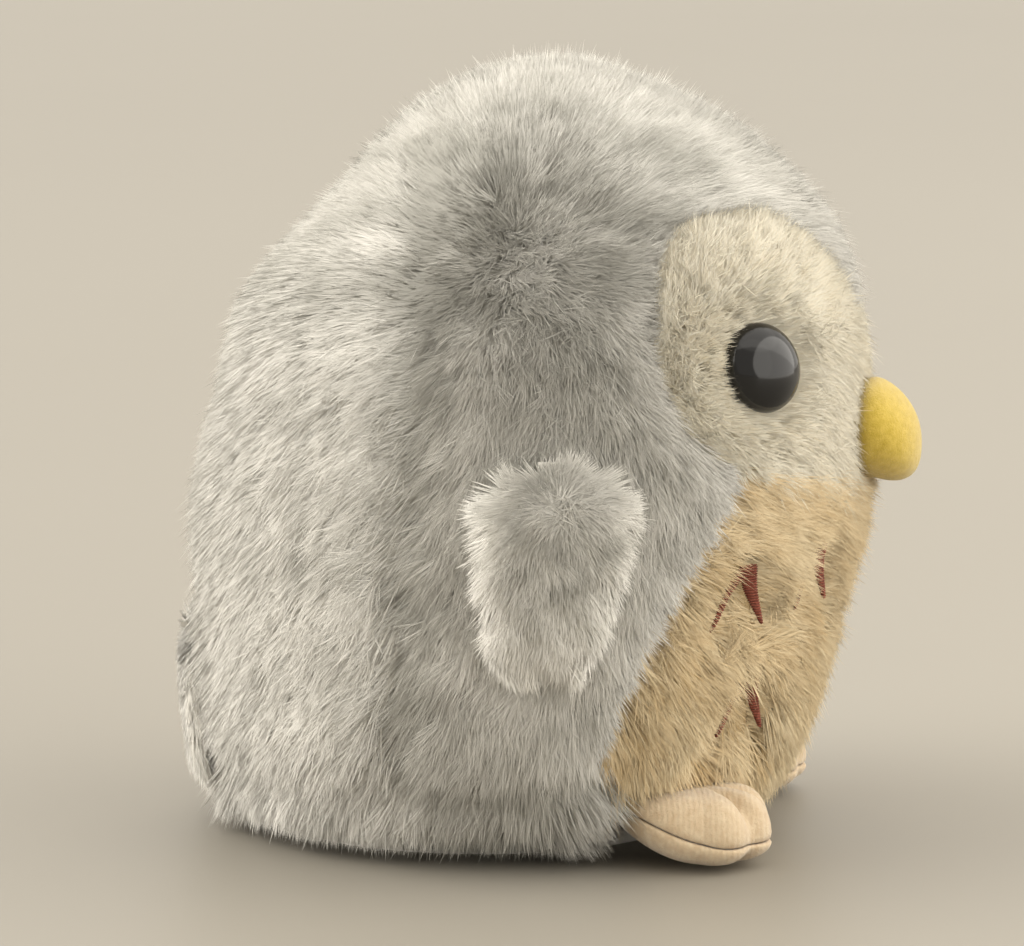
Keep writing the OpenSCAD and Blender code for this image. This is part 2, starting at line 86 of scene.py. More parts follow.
def unit(v):
    return v / np.maximum(np.linalg.norm(v, axis=-1, keepdims=True), 1e-9)


def sind(a):
    return np.sin(np.radians(a))


def cosd(a):
    return np.cos(np.radians(a))


def ring(fall):
    """Catmull-Rom curve through the levels: before the crown they repeat with front and back
    swapped, and past the floor they go on straight."""
    before = LEVELS[1][[0, 2, 1, 3]] * [1, 1, 1, -1]
    knots = np.vstack([before, LEVELS, 2 * LEVELS[-1] - LEVELS[-2]])
    steps = np.clip(np.asarray(fall, float), 0, 1) * (len(LEVELS) - 1)
    i = np.minimum(steps.astype(int), len(LEVELS) - 2)
    t = (steps - i)[..., None]
    a, b, c, d = knots[i], knots[i + 1], knots[i + 2], knots[i + 3]
    return (2 * b + (c - a) * t + (2 * a - 5 * b + 4 * c - d) * t**2
            + (3 * b - a - 3 * c + d) * t**3) / 2


def skin(turn, fall):
    """Point of the body at a bearing and a fall: an ellipse at each level, half width across and
    front to back along, turn 0 in front and -90 on the right."""
    r = ring(fall)
    middle, reach = (r[..., 1] + r[..., 2]) / 2, (r[..., 2] - r[..., 1]) / 2
    return np.stack(
        [r[..., 3] * sind(turn), middle - reach * cosd(turn), r[..., 0] + 0 * np.asarray(turn)], -1)


def skin_at(place):
    """Skin point of a named place, given as its turn and fall."""
    return skin(*map(np.asarray, place))


def slopes(turn, fall):
    """Skin steps for one degree of turn and for one unit of fall, by central differences."""
    e, f = 0.05, 0.0005
    across = (skin(turn + e, fall) - skin(turn - e, fall)) / (2 * e)
    high, low = np.clip(fall - f, 0, 1), np.clip(fall + f, 0, 1)
    down = (skin(turn, low) - skin(turn, high)) / (low - high)[..., None]
    return across, down


def normal(turn, fall):
    across, down = slopes(turn, fall)
    return unit(np.cross(down, across))


def fall_at(z):
    """Fall of a height, read back from the curve of heights."""
    falls = np.linspace(0, 1, 2001)
    return np.interp(-np.asarray(z, float), -ring(falls)[:, 0], falls)


# ------------------------------------------------------------------ seam lines

def brow(turn):
    """Top edge of a face: a rounded arch, with a peak of grey between the two."""
    t = np.abs(turn)
    peak = FACE_TOP + 0.13 * np.clip((PEAK_TURN - t) / PEAK_TURN, 0, 1)**1.6
    outer = np.clip((t - PEAK_TURN) / FACE_SPAN, 0, 1)
    arch = FACE_WIDEST - FACE_RISE * np.clip(1 - outer**4, 0, 1)**0.25
    return np.where(t < PEAK_TURN, peak, arch)


def chin(turn):
    """Bottom edge of a face: nearly level in front, then a quarter ellipse up to the cheek."""
    t = np.abs(turn)
    level = FACE_BOTTOM + 0.012 * (1 - (t / PEAK_TURN)**2)
    curve = np.sqrt(np.clip(1 - ((t - PEAK_TURN) / FACE_SPAN)**2, 0, 1))
    return np.where(t < PEAK_TURN, level, FACE_WIDEST + FACE_DROP * curve)


def belly_edge(fall):
    """Side edge of the belly, which widens as it falls."""
    s = np.clip((fall - FACE_BOTTOM) / (BAND_FALL - FACE_BOTTOM), 0, 1)
    return 44 + 19 * np.clip(sind(90 * s), 0, 1)**0.85


def cheek(fall):
    """Front edge of a side panel: round the face, then down the belly."""
    over = np.clip((FACE_WIDEST - fall) / FACE_RISE, 0, 1)
    high = PEAK_TURN + FACE_SPAN * np.clip(1 - over**4, 0, 1)**0.25
    under = (fall - FACE_WIDEST) / FACE_DROP
    low = PEAK_TURN + FACE_SPAN * np.sqrt(np.clip(1 - under**2, 0, 1))
    return np.where(fall < FACE_WIDEST, high, np.maximum(low, belly_edge(fall)))


def side_seam(fall):
    """Turn of the seam between side and back, which swings to the back near the crown."""
    return 102 + 50 * np.clip((0.6 - fall) / 0.5, 0, None)**2.2


def crown_edge(turn):
    """Lower edge of the crown: the brow in front, then a slant up to the back."""
    t = np.abs(turn)
    corner = brow(np.array(55.0))
    return np.where(t < 55, brow(t), corner - (corner - 0.12) * smooth((t - 55) / 125))


def side_top(s):
    """Fall where a column of a side panel meets the crown, by repeated halving."""
    guess = np.full_like(s, 0.25)
    for _ in range(20):
        turn = mix(side_seam(guess), cheek(guess), s)
        guess = (guess + crown_edge(turn)) / 2
    return guess


def mark_centre(kind):
    turn, z = MARKS[kind]
    return skin_at((float(turn), fall_at(z)))


def groove(turn, fall):
    """Depth of the dips in the cloth: bells across each seam and round each belly mark."""
    p, t = skin(turn, fall), np.abs(turn)
    wide = ring(fall)[..., 3] * pi / 180
    on_back = smooth((fall - 0.1) / 0.1) * smooth((BAND_FALL - fall) / 0.04)
    depth = 2.5 * bump((t - side_seam(fall)) * wide / 3.4) * on_back
    depth += 2.4 * bump((fall - BAND_FALL) * FALL_MM / 2.6) * (t > 60)
    depth += 1.1 * bump((t - cheek(fall)) * wide / 2.2) * smooth((fall - 0.28) / 0.1)
    depth += 0.9 * bump((fall - crown_edge(turn)) * FALL_MM / 2.0) * (t > 50) * (t < 150)
    front = (t < 60) * smooth((p[..., 2] - 15) / 12) * smooth((54 - p[..., 2]) / 6)
    depth += 3.0 * bump(p[..., 0] / 3.2) * front
    q = p.copy()
    q[..., 0] = -np.abs(q[..., 0])
    for kind in MARKS:
        away = np.linalg.norm(q - mark_centre(kind), axis=-1)
        depth += 1.6 * bump(away / 4.5)
    away = np.linalg.norm(q - skin_at(EYE), axis=-1)
    return depth + 2.2 * smooth(1.6 * (1 - away / 12.5))


def backing(turn, fall, depth):
    """Point under the skin, straight in by the pile, the dips and a further depth."""
    inward = PILE + groove(turn, fall) + depth
    return skin(turn, fall) - normal(turn, fall) * inward[..., None]


# ------------------------------------------------------------------ mesh helpers

def finish_piece(me, name, body, materials):
    """Object of a finished mesh, in its body."""
    ob = bpy.data.objects.new(name, me)
    bpy.context.scene.collection.objects.link(ob)
    for m in materials:
        me.materials.append(m)
    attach(ob, body)
    return ob


def surface(name, grids, body, material, levels=0):
    """Closed skin sewn from grids of points, rows by columns: neighbours share their edges,
    which are merged, as are the points of a pole, and the faces are turned outwards."""
    points, faces, start = [], [], 0
    for g in grids:
        rows, columns = g.shape[:2]
        index = start + np.arange(rows * columns).reshape(rows, columns)
        faces.append(np.stack(
            [index[:-1, :-1], index[:-1, 1:], index[1:, 1:], index[1:, :-1]], -1).reshape(-1, 4))
        points.append(g.reshape(-1, 3))
        start += rows * columns
    me = bpy.data.meshes.new(name)
    me.from_pydata(np.concatenate(points) * MM, [], np.concatenate(faces))
    work = bmesh.new()
    work.from_mesh(me)
    bmesh.ops.remove_doubles(work, verts=work.verts, dist=2e-6)
    bmesh.ops.dissolve_degenerate(work, edges=work.edges, dist=1e-7)
    bmesh.ops.recalc_face_normals(work, faces=work.faces)
    work.to_mesh(me)
    work.free()
    me.shade_smooth()
    ob = finish_piece(me, name, body, [material])
    if levels:
        mod = ob.modifiers.new("Subdivision", "SUBSURF")
        mod.levels = mod.render_levels = levels
    return ob


def sheet_grids(outer, inner):
    """Grids of a closed sheet: its two faces and the four edges that join them."""
    edges = [(slice(None), 0), (slice(None), -1), (0, slice(None)), (-1, slice(None))]
    return [outer, inner] + [np.stack([outer[e], inner[e]]) for e in edges]


def ripple(p, size, seed, terms=14):
    """Smooth random field of about unit size: a sum of sine waves with random bearings and
    phases, and wavelengths round the given one in millimetres."""
    own = np.random.default_rng(seed)
    k = unit(own.normal(size=(terms, 3))) * 2 * pi / size * own.uniform(0.7, 1.4, (terms, 1))
    return np.sin(p @ k.T + own.uniform(0, 2 * pi, terms)).sum(-1) * (2 / terms)**0.5


# ------------------------------------------------------------------ materials

def shader(name, colour, roughness, **inputs):
    """Plain material, with its node tree and its Principled node."""
    m = bpy.data.materials.new(name)
    m.use_nodes = True
    p = m.node_tree.nodes["Principled BSDF"]
    p.inputs["Base Color"].default_value = (*colour, 1)
    p.inputs["Roughness"].default_value = roughness
    for key, value in inputs.items():
        p.inputs[key.replace("_", " ")].default_value = value
    return m, m.node_tree, p


def node(tree, kind, **values):
    """New node with its settings and the start values of its sockets."""
    n = tree.nodes.new(kind)
    for key, value in values.items():
        if hasattr(n, key):
            setattr(n, key, value)
        else:
            n.inputs[key.replace("_", " ")].default_value = value
    return n


def speckle(tree, coords, scale, stops, detail=3):
    """Colour from a noise through a ramp of stops."""
    noise = node(tree, "ShaderNodeTexNoise", Scale=scale, Detail=detail)
    ramp = node(tree, "ShaderNodeValToRGB")
    tree.links.new(coords, noise.inputs["Vector"])
    tree.links.new(noise.outputs["Fac"], ramp.inputs["Fac"])
    while len(ramp.color_ramp.elements) < len(stops):
        ramp.color_ramp.elements.new(0.5)
    for element, (place, colour) in zip(ramp.color_ramp.elements, stops):
        element.position = place
        element.color = (*colour, 1)
    return noise, ramp.outputs["Color"]


def raised(tree, height, distance, strength, below=None):
    """Normal of a surface raised by a height, over an earlier normal if there is one."""
    b = node(tree, "ShaderNodeBump", Distance=distance, Strength=strength)
    tree.links.new(height, b.inputs["Height"])
    if below is not None:
        tree.links.new(below, b.inputs["Normal"])
    return b.outputs["Normal"]


def napped(name, dark, light, grain, nap, rib=None, sheen=0.3):
    """Short-napped cloth: mottled colour, a fine nap, and ribs along one direction if asked, their
    troughs darkened in the colour as painted shade.
    """
    mid = tuple((a + b) / 2 for a, b in zip(dark, light))
    m, tree, p = shader(name, mid, 0.9, Sheen_Weight=sheen, Sheen_Roughness=0.45,
                        Specular_IOR_Level=0.2)
    coords = node(tree, "ShaderNodeTexCoord").outputs["Object"]
    _, colour = speckle(tree, coords, grain, [(0.3, dark), (0.7, light)], 6)
    fuzz = node(tree, "ShaderNodeTexNoise", Scale=nap, Detail=4, Roughness=0.7)
    tree.links.new(coords, fuzz.inputs["Vector"])
    facing = raised(tree, fuzz.outputs["Fac"], 0.0003, 0.8)
    if rib:
        angle, scale, low = rib
        turned = node(tree, "ShaderNodeMapping")
        turned.inputs["Rotation"].default_value = angle
        wave = node(tree, "ShaderNodeTexWave", Scale=scale, Distortion=1.6, Detail=2)
        wave.inputs["Detail Scale"].default_value = 1.5
        tree.links.new(coords, turned.inputs["Vector"])
        tree.links.new(turned.outputs["Vector"], wave.inputs["Vector"])
        facing = raised(tree, wave.outputs["Fac"], 0.0001, 0.4, facing)
        # Painted shade: the colour is multiplied down to low in the ribs' troughs.
        shade = node(tree, "ShaderNodeMix", data_type="RGBA", blend_type="MULTIPLY")
        trough_shade = node(tree, "ShaderNodeMapRange")
        trough_shade.inputs["To Min"].default_value = low
        tree.links.new(wave.outputs["Fac"], trough_shade.inputs["Value"])
        shade.inputs[0].default_value = 1
        tree.links.new(colour, shade.inputs[6])
        tree.links.new(trough_shade.outputs["Result"], shade.inputs[7])
        colour = shade.outputs[2]
    tree.links.new(colour, p.inputs["Base Color"])
    tree.links.new(facing, p.inputs["Normal"])
    return m


def pile_shades(name, dark, light, sheen=0.7):
    """The shades of one pile, in even steps from its dark to its light end."""
    made = []
    for i, colour in enumerate(mix(np.array(dark), np.array(light), k / 7) for k in range(8)):
        m, _, _ = shader(f"{name}_{i}", colour, 0.75, Sheen_Weight=sheen, Sheen_Roughness=0.4,
                         Sheen_Tint=(*colour, 1), Specular_IOR_Level=0.2)
        made.append(m)
    return made


# The darker steps of the grey and tan piles also carry painted shade in the pile's hollows, creases
# and less lit places.
GREY = pile_shades("grey_pile", (0.50, 0.49, 0.445), (0.99, 0.97, 0.91))
CREAM = pile_shades("cream_pile", (0.97, 0.86, 0.64), (1.0, 0.957, 0.82))
TAN = pile_shades("tan_pile", (0.63, 0.45, 0.225), (0.95, 0.80, 0.54))
BACKING = napped("backing_cloth", (0.68, 0.66, 0.61), (0.76, 0.74, 0.69), 600, 2600)
CREAM_BACKING = napped("cream_backing", (0.86, 0.77, 0.58), (0.92, 0.84, 0.66), 600, 2600)
TAN_BACKING = napped("tan_backing", (0.62, 0.47, 0.26), (0.72, 0.57, 0.34), 600, 2600)
# The velour's ribs darken its colour slightly in their troughs, as painted shade.
VELOUR = napped("peach_velour", (0.635, 0.478, 0.305), (0.735, 0.597, 0.412), 900, 3200,
                rib=((0, 0, radians(78)), 430, 0.965), sheen=0.5)
FELT = napped("yellow_velour", (0.56, 0.395, 0.05), (0.69, 0.515, 0.10), 1100, 3600, sheen=0.6)
FIBRE = napped("white_fibre", (0.80, 0.80, 0.78), (0.93, 0.93, 0.91), 500, 1600)
# The thread's ribs darken its colour to 0.45 in their troughs: painted shade between the threads.
THREAD = napped("brown_thread", (0.24, 0.06, 0.035), (0.42, 0.13, 0.085), 2400, 5200,
                rib=((0, radians(90), 0), 800, 0.45), sheen=0.1)
GREY_THREAD = napped("grey_thread", (0.50, 0.48, 0.44), (0.60, 0.58, 0.53), 1800, 5200)


def eye_gloss():
    """Polished black plastic with faint handling marks in its gloss."""
    m, tree, p = shader("eye_gloss", (0.004, 0.004, 0.0045), 0.05,
                        Specular_IOR_Level=0.5)
    coords = node(tree, "ShaderNodeTexCoord").outputs["Object"]
    noise = node(tree, "ShaderNodeTexNoise", Scale=420, Detail=3)
    reach = node(tree, "ShaderNodeMapRange")
    reach.inputs["To Min"].default_value = 0.08
    reach.inputs["To Max"].default_value = 0.15
    tree.links.new(coords, noise.inputs["Vector"])
    tree.links.new(noise.outputs["Fac"], reach.inputs["Value"])
    tree.links.new(reach.outputs["Result"], p.inputs["Roughness"])
    return m


def milky_plastic():
    """Plain moulded plastic, slightly uneven in colour and surface."""
    m, tree, p = shader("milky_plastic", (0.8, 0.82, 0.83), 0.4)
    coords = node(tree, "ShaderNodeTexCoord").outputs["Object"]
    noise, colour = speckle(tree, coords, 700, [(0.3, (0.72, 0.75, 0.77)), (0.7, (0.86, 0.88, 0.89))])
    tree.links.new(colour, p.inputs["Base Color"])
    tree.links.new(raised(tree, noise.outputs["Fac"], 0.0001, 0.3), p.inputs["Normal"])
    return m


EYE_GLOSS, MILKY = eye_gloss(), milky_plastic()

# ------------------------------------------------------------------ camera, lights and floor


def aimed(ob, place, target):
    ob.location = place
    ob.rotation_mode = "QUATERNION"
    ob.rotation_quaternion = (Vector(target) - Vector(place)).to_track_quat("-Z", "Y")
    bpy.context.scene.collection.objects.link(ob)


def bearing(azimuth, elevation, distance, target):
    a, e = radians(azimuth), radians(elevation)
    back = Vector((sin(a) * cos(e), -cos(a) * cos(e), sin(e)))
    return Vector(target) + back * distance


def area_light(name, azimuth, elevation, distance, size, power, colour):
    data = bpy.data.lights.new(name, "AREA")
    data.shape, data.size, data.size_y = "ELLIPSE", size[0], size[1]
    data.energy, data.color = power, colour
    target = (0, 0, 0.05)
    aimed(bpy.data.objects.new(name, data), bearing(azimuth, elevation, distance, target), target)


def sky_light(name, azimuth, elevation, spread, strength, colour):
    """Distant light that is as soft as its spread, in degrees, is wide."""
    data = bpy.data.lights.new(name, "SUN")
    data.angle, data.energy, data.color = radians(spread), strength, colour
    aimed(bpy.data.objects.new(name, data), bearing(azimuth, elevation, 2, (0, 0, 0)), (0, 0, 0))


def set_camera():
    cam = bpy.data.cameras.new("camera")
    cam.lens, cam.sensor_width = 200, 36
    cam.clip_start, cam.clip_end = 0.01, 50
    target = (0, 0.0051, 0.0495)
    holder = bpy.data.objects.new("camera", cam)
    aimed(holder, bearing(-82, 8.5, 0.8, target), target)
    bpy.context.scene.camera = holder


def set_stage():
    """Plain pale floor, even light all round, and soft lights behind, above and in front."""
    scene = bpy.context.scene
    scene.view_settings.view_transform = "Standard"
    world = bpy.data.worlds.new("studio")
    world.use_nodes = True
    world.node_tree.nodes["Background"].inputs["Color"].default_value = (1, 0.925, 0.80, 1)
    world.node_tree.nodes["Background"].inputs["Strength"].default_value = 0.50
    scene.world = world
    warm = (1, 0.957, 0.89)
    sky_light("far_light", 98, 50, 140, 2.4, warm)
    sky_light("back_light", 188, 19, 70, 3.9, warm)
    sky_light("side_light", -70, 30, 100, 0.36, warm)
    sky_light("top_light", 20, 76, 80, 0.5, warm)
    area_light("softbox", -8, 20, 1.0, (2.4, 1.5), 17, warm)
    me = bpy.data.meshes.new("floor")
    a = np.linspace(0, 2 * pi, 96, endpoint=False)
    me.from_pydata(np.stack([8 * np.cos(a), 8 * np.sin(a), 0 * a], -1), [], [range(96)])
    floor = bpy.data.objects.new("floor", me)
    scene.collection.objects.link(floor)
    m, tree, p = shader("pale_paper", (0.60, 0.58, 0.53), 0.5, Specular_IOR_Level=0.3)
    coords = node(tree, "ShaderNodeTexCoord").outputs["Object"]
    _, colour = speckle(tree, coords, 2, [(0.3, (0.263, 0.244, 0.208)), (0.7, (0.270, 0.251, 0.214))])
    tree.links.new(colour, p.inputs["Base Color"])
    me.materials.append(m)


set_camera()
set_stage()

# ------------------------------------------------------------------ backing cloth

CLOTH = 0.9  # thickness of the backing cloth


def cloth_panel(name, place, rows, columns, material, replaced, mirrored=False):
    """Backing cloth of one panel, from place(s, t), which gives the turn and fall of each point."""
    s, t = np.meshgrid(np.linspace(0, 1, columns + 1), np.linspace(0, 1, rows + 1))
    turn, fall = place(s, t)
    layers = [backing(turn, fall, np.full_like(fall, d)) for d in (0.1, 0.1 + CLOTH)]
    if mirrored:
        layers = [g * [-1, 1, 1] for g in layers]
    ob = surface(name, sheet_grids(*layers), "torso", material)
    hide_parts(replaced)


def crown_place(s, t):
    turn = mix(-180, 180, s)
    return turn, mix(POLE_FALL, crown_edge(turn), t)


def side_place(s, t):
    fall = mix(side_top(s), BAND_FALL, t)
    return -mix(side_seam(fall), cheek(fall), s), fall


def back_place(s, t):
    edge = side_seam(side_top(np.zeros(1)))[0]
    top = crown_edge(180 - np.abs(mix(edge - 180, 180 - edge, s)))
    fall = mix(top, BAND_FALL, t)
    start = side_seam(fall)
    return mix(-start, start - 360, s), fall


def face_place(s, t):
    turn = -mix(63.2, 0, 1 - np.clip(cosd(90 * s), 0, 1)**1.5)
    return turn, mix(brow(turn), chin(turn), t)


def belly_place(s, t):
    fall = mix(chin(mix(44, 0, s)), BAND_FALL, t)
    return -mix(belly_edge(fall), 0, s), fall


def band_place(first, last):
    """Places of a stretch of the skirt between two turns."""
    return lambda s, t: (mix(first, last, s), mix(BAND_FALL + 0.001, FLOOR_FALL, t))


def sew_backing():
    for left in (False, True):
        side = "left" if left else "right"
        cloth_panel(f"side_cloth_{side}", side_place, 64, 40, BACKING, f"side_panel_{side}", left)
        cloth_panel(f"face_cloth_{side}", face_place, 40, 40, CREAM_BACKING,
                    f"face_panel_{side}", left)
        cloth_panel(f"belly_cloth_{side}", belly_place, 48, 40, TAN_BACKING,
                    f"belly_panel_{side}", left)
    cloth_panel("crown_cloth", crown_place, 30, 120, BACKING, "crown_panel")
    cloth_panel("back_cloth", back_place, 64, 90, BACKING, "back_panel")
    cloth_panel("band_cloth", band_place(-66, -294), 10, 120, BACKING, "base_band")
    cloth_panel("band_cloth_front", band_place(-13, 13), 10, 16, BACKING, "base_band")


sew_backing()

# ------------------------------------------------------------------ pile


def pile(name, roots, faces, lie, length, lean, width, shade, shades, body, seed):
    """Fibres as slim three-sided spikes: from the root along cos(lean) of the cloth's normal and
    sin(lean) of the lie, each turned about itself at random. A fibre is lit as part of the
    surface that it lies in, and rests on the floor where it would reach below it."""
    own = np.random.default_rng(seed + 100)
    count = len(roots)
    side = unit(np.cross(lie, faces))
    ahead = np.cos(lean)[:, None] * faces + np.sin(lean)[:, None] * lie
    tip = roots + length[:, None] * ahead + own.normal(0, 0.4, (count, 1)) * side
    verts = np.empty((count, 4, 3), np.float32)
    roll = own.uniform(0, 360, count)
    for k in range(3):
        a = (roll + 120 * k)[:, None]
        verts[:, k] = roots + width * 0.577 * (cosd(a) * side + sind(a) * np.cross(ahead, side))
    low = own.uniform(0.2, 1.5, count)
    verts[:, 3] = tip + 0.7 * np.maximum(low - tip[:, 2], 0)[:, None] * unit(faces * [1, 1, 0])
    verts[:, 3, 2] = np.maximum(tip[:, 2], low)
    verts[:, :3, 2] = np.maximum(verts[:, :3, 2], 0.3)
    loops = np.arange(count)[:, None] * 4 + [0, 1, 3, 1, 2, 3, 2, 0, 3]
    tone = np.clip(np.floor(shade * len(shades)), 0, len(shades) - 1).astype(np.int32)
    me = bpy.data.meshes.new(name)
    me.vertices.add(count * 4)
    me.loops.add(count * 9)
    me.polygons.add(count * 3)
    me.vertices.foreach_set("co", (verts * MM).ravel())
    me.loops.foreach_set("vertex_index", loops.ravel().astype(np.int32))
    me.polygons.foreach_set("loop_start", np.arange(0, count * 9, 3, dtype=np.int32))
    me.polygons.foreach_set("material_index", np.repeat(tone, 3))
    me.update(calc_edges=True)
    me.shade_smooth()
    soft = unit(faces + 0.45 * lie)
    soft[:, 2] = np.maximum(soft[:, 2], -0.12)
    soft = np.repeat(unit(soft)[:, None], 4, 1).reshape(-1, 3)
    me.normals_split_custom_set_from_vertices(soft.astype(np.float32))
    finish_piece(me, name, body, shades)


def tangent(v, n):
    """The part of v that lies along the surface, as a unit vector."""
    return unit(v - (v * n).sum(-1, keepdims=True) * n)


def scatter(density):
    """Random turns and falls, spread over the whole skin with density(turn, fall) to the square
    millimetre: even candidates in turn and fall, each kept with the chance that makes it so."""
    count = 1_200_000
    turn = RNG.uniform(-180, 180, count)
    fall = RNG.uniform(POLE_FALL, FLOOR_FALL, count)
    across, down = slopes(turn, fall)
    area = np.linalg.norm(np.cross(across, down), axis=-1) * 360 * (FLOOR_FALL - POLE_FALL)
    kept = RNG.uniform(0, 1, count) < density(turn, fall) * area / count
    return turn[kept], fall[kept]


def turn_fall(p):
    """Turn and fall of points near the skin."""
    fall = fall_at(p[:, 2])
    r = ring(fall)
    middle, reach = (r[:, 1] + r[:, 2]) / 2, np.maximum((r[:, 2] - r[:, 1]) / 2, 1)
    turn = np.arctan2(p[:, 0] / np.maximum(r[:, 3], 1), (middle - p[:, 1]) / reach)
    return np.degrees(turn), fall


GREYS = ["crown", "side", "back", "band"]
MATES = {**{k: GREYS for k in GREYS}, "face": ["face", "belly"], "belly": ["belly"]}


def kept_in(kind, roots, n, lie, lean, height):
    """Leans at which fibres keep to their own colour: those that would cross a seam onto
    another colour stand up instead, though the grey may hang a little over the belly."""
    if kind == "back":
        return lean
    for step in range(3):
        over = ["belly"] if step and kind in GREYS else []
        tip = roots + height[:, None] * (n + np.tan(lean)[:, None] * lie)
        there = panel_at(*turn_fall(tip))
        same = np.isin(there, MATES[kind] + over)
        lean = np.where(same, lean, 0.5 * lean)
    return lean


def panel_at(turn, fall):
    """Name of the panel at each point of the skin."""
    t = np.abs(turn)
    crown = fall < crown_edge(turn)
    face = (t < 63) & (fall >= brow(t) + 0.004) & (fall < chin(t) - 0.004)
    belly = (t < belly_edge(fall) + 2) & (fall >= chin(turn) - 0.004)
    band = (fall >= BAND_FALL) & (t > 61)
    back = t >= side_seam(fall)
    return np.select([band, crown, face, belly, back], ["band", "crown", "face", "belly", "back"],
                     "side")


def grey_lay(q, n, turn, fall):
    """Lie and lean of the grey pile on the right half: outwards from the whorl, turning to
    down and slightly back further off, and forwards along the front edge."""
    whorl = skin_at(WHORL)
    away = q - whorl
    far = np.linalg.norm(away, axis=-1)
    z, t = q[:, 2], np.abs(turn)
    wide = ring(fall)[:, 3] * pi / 180
    ones = np.ones((len(q), 1))
    down, forward = tangent(ones * [0, 0.24, -1], n), tangent(ones * [0, -1, -0.35], n)
    w = smooth((far - 14) / 30) * smooth((95 - z) / 20)
    edge = bump((t - cheek(fall)) * wide / 7) * smooth((fall - 0.25) / 0.1) * (t < 110)
    behind = bump((t - side_seam(fall)) * wide / 9) * (t > side_seam(fall)) * smooth((z - 8) / 12)
    lie = (tangent(away, n) * (1 - w)[:, None] + down * w[:, None] + forward * 0.75 * edge[:, None]
           - forward * 0.7 * behind[:, None])
    low = smooth((fall - BAND_FALL) / 0.02)
    notch = bump((t - 63) / 9) * low
    lie = lie + forward * 1.4 * notch[:, None]
    lean = mix(26, 56, smooth((far - 3) / 40))
    ridge = bump(q[:, 0] / 8) * smooth((z - 86) / 14)
    lean = lean * (1 - 0.55 * ridge) * (1 - 0.25 * edge)
    return tangent(lie, n), lean


def face_lay(q, n, turn, fall):
    """Cream pile: away from the eye, standing above it and combed down beside the beak."""
    away = tangent(q - skin_at(EYE), n)
    far = np.linalg.norm(q - skin_at(EYE), axis=-1)
    t = np.abs(turn)
    ones = np.ones((len(q), 1))
    down = tangent(ones * [0, -0.1, -1], n)
    inner = smooth((34 - t) / 16) * smooth((fall - 0.36) / 0.08)
    lie = away * (1 - 0.75 * inner)[:, None] + down * (0.9 * inner)[:, None]
    lean = mix(0, 34, smooth((far - 6.5) / 9)) + 16 * inner
    return tangent(lie, n), lean


def belly_lay(q, n, turn, fall):
    """Tan pile: combed across towards the front at the top, turning down lower on."""
    ones = np.ones((len(q), 1))
    across, down = tangent(ones * [1, -0.6, -0.25], n), tangent(ones * [0.05, 0, -1], n)
    low = smooth((fall - 0.60) / 0.22)
    lie = across * (1 - 0.72 * low)[:, None] + down * (0.35 + 0.65 * low)[:, None]
    lean = mix(46, 56, low)
    for kind in MARKS:
        _, aside, up, _ = mark_axes(kind)
        x, z, off, near = stroke_distance(q, kind)
        part = np.sign(x)[:, None] * 0.87 * aside + 0.5 * up
        lie = lie + 3 * (near * np.sign(off))[:, None] * part
        lie = lie + 4 * (near * smooth((z - 2.5) / 2))[:, None] * up
        lean = lean * (1 - 0.35 * near)
    return tangent(lie, n), lean


def bare(q, turn, fall):
    """Places with no roots: under the eyes, the beak, the feet and the belly marks."""
    axis = eye_axis()
    off = q - skin_at(EYE)
    radial = np.linalg.norm(off - (off @ axis)[:, None] * axis, axis=-1)
    none = (radial < 6.2) & (np.abs(turn) < 70) & (np.abs(fall - EYE[1]) < 0.12)
    none |= (np.abs(turn) < 20) & ((q[:, 0] / 7.6)**2 + ((q[:, 2] - 57) / 6.2)**2 < 1)
    t = np.abs(turn)
    none |= (fall > BAND_FALL) & (t > 24) & (t < 60)
    for kind in MARKS:
        _, z, off, _ = stroke_distance(q, kind)
        none |= (np.abs(off) < 1.3 + 0.9 * z / 4.5) & (np.abs(z - 0.3) < 5.7) & (t < 60)
    return none


def eye_axis():
    """Direction that the right eye looks in: its bearing, tilted up."""
    a, e = EYE[0], EYE_TILT
    return np.array([sind(a) * cosd(e), -cosd(a) * cosd(e), sind(e)])


def mark_axes(kind):
    """Origin, across, up and outward directions of a belly mark on the right half."""
    turn, z = MARKS[kind]
    turn, fall = np.array(float(turn)), fall_at(z)
    out = normal(turn, fall)
    across = unit(np.cross([0, 0, 1], out))
    return skin(turn, fall), across, np.cross(out, across), out


def stroke_distance(q, kind):
    """Place of points in the plane of a belly mark, their distance from its nearer stroke,
    positive on the outer side, and how near they are, from 0 to 1."""
    centre, across, up, _ = mark_axes(kind)
    x, z = (q - centre) @ across, (q - centre) @ up
    off = (np.abs(x) - (4.5 - z) * 0.57) * 0.87
    reach = np.where((x < 0) & (off > 0), 4.4, 3.0)
    near = bump(off / reach) * smooth((8 - np.abs(z)) / 2.5)
    return x, z, off, near * (0.55 if kind == "inner" else 1)


# Of each panel: how its pile lies, its shades, its slot, fibres to the square millimetre and
# their width.
PANELS = {
    "crown": (grey_lay, GREY, "grey_fur", 17.0, 0.28),
    "side": (grey_lay, GREY, "grey_fur", 19.5, 0.26),
    "back": (grey_lay, GREY, "grey_fur", 11.0, 0.35),
    "band": (grey_lay, GREY, "grey_fur", 13.0, 0.31),
    "face": (face_lay, CREAM, "cream_fur", 26.0, 0.28),
    "belly": (belly_lay, TAN, "tan_fur", 19.0, 0.265),
}


PIECE_CUT = 0.47  # fall at which the pile of a side or the back is cut in two pieces


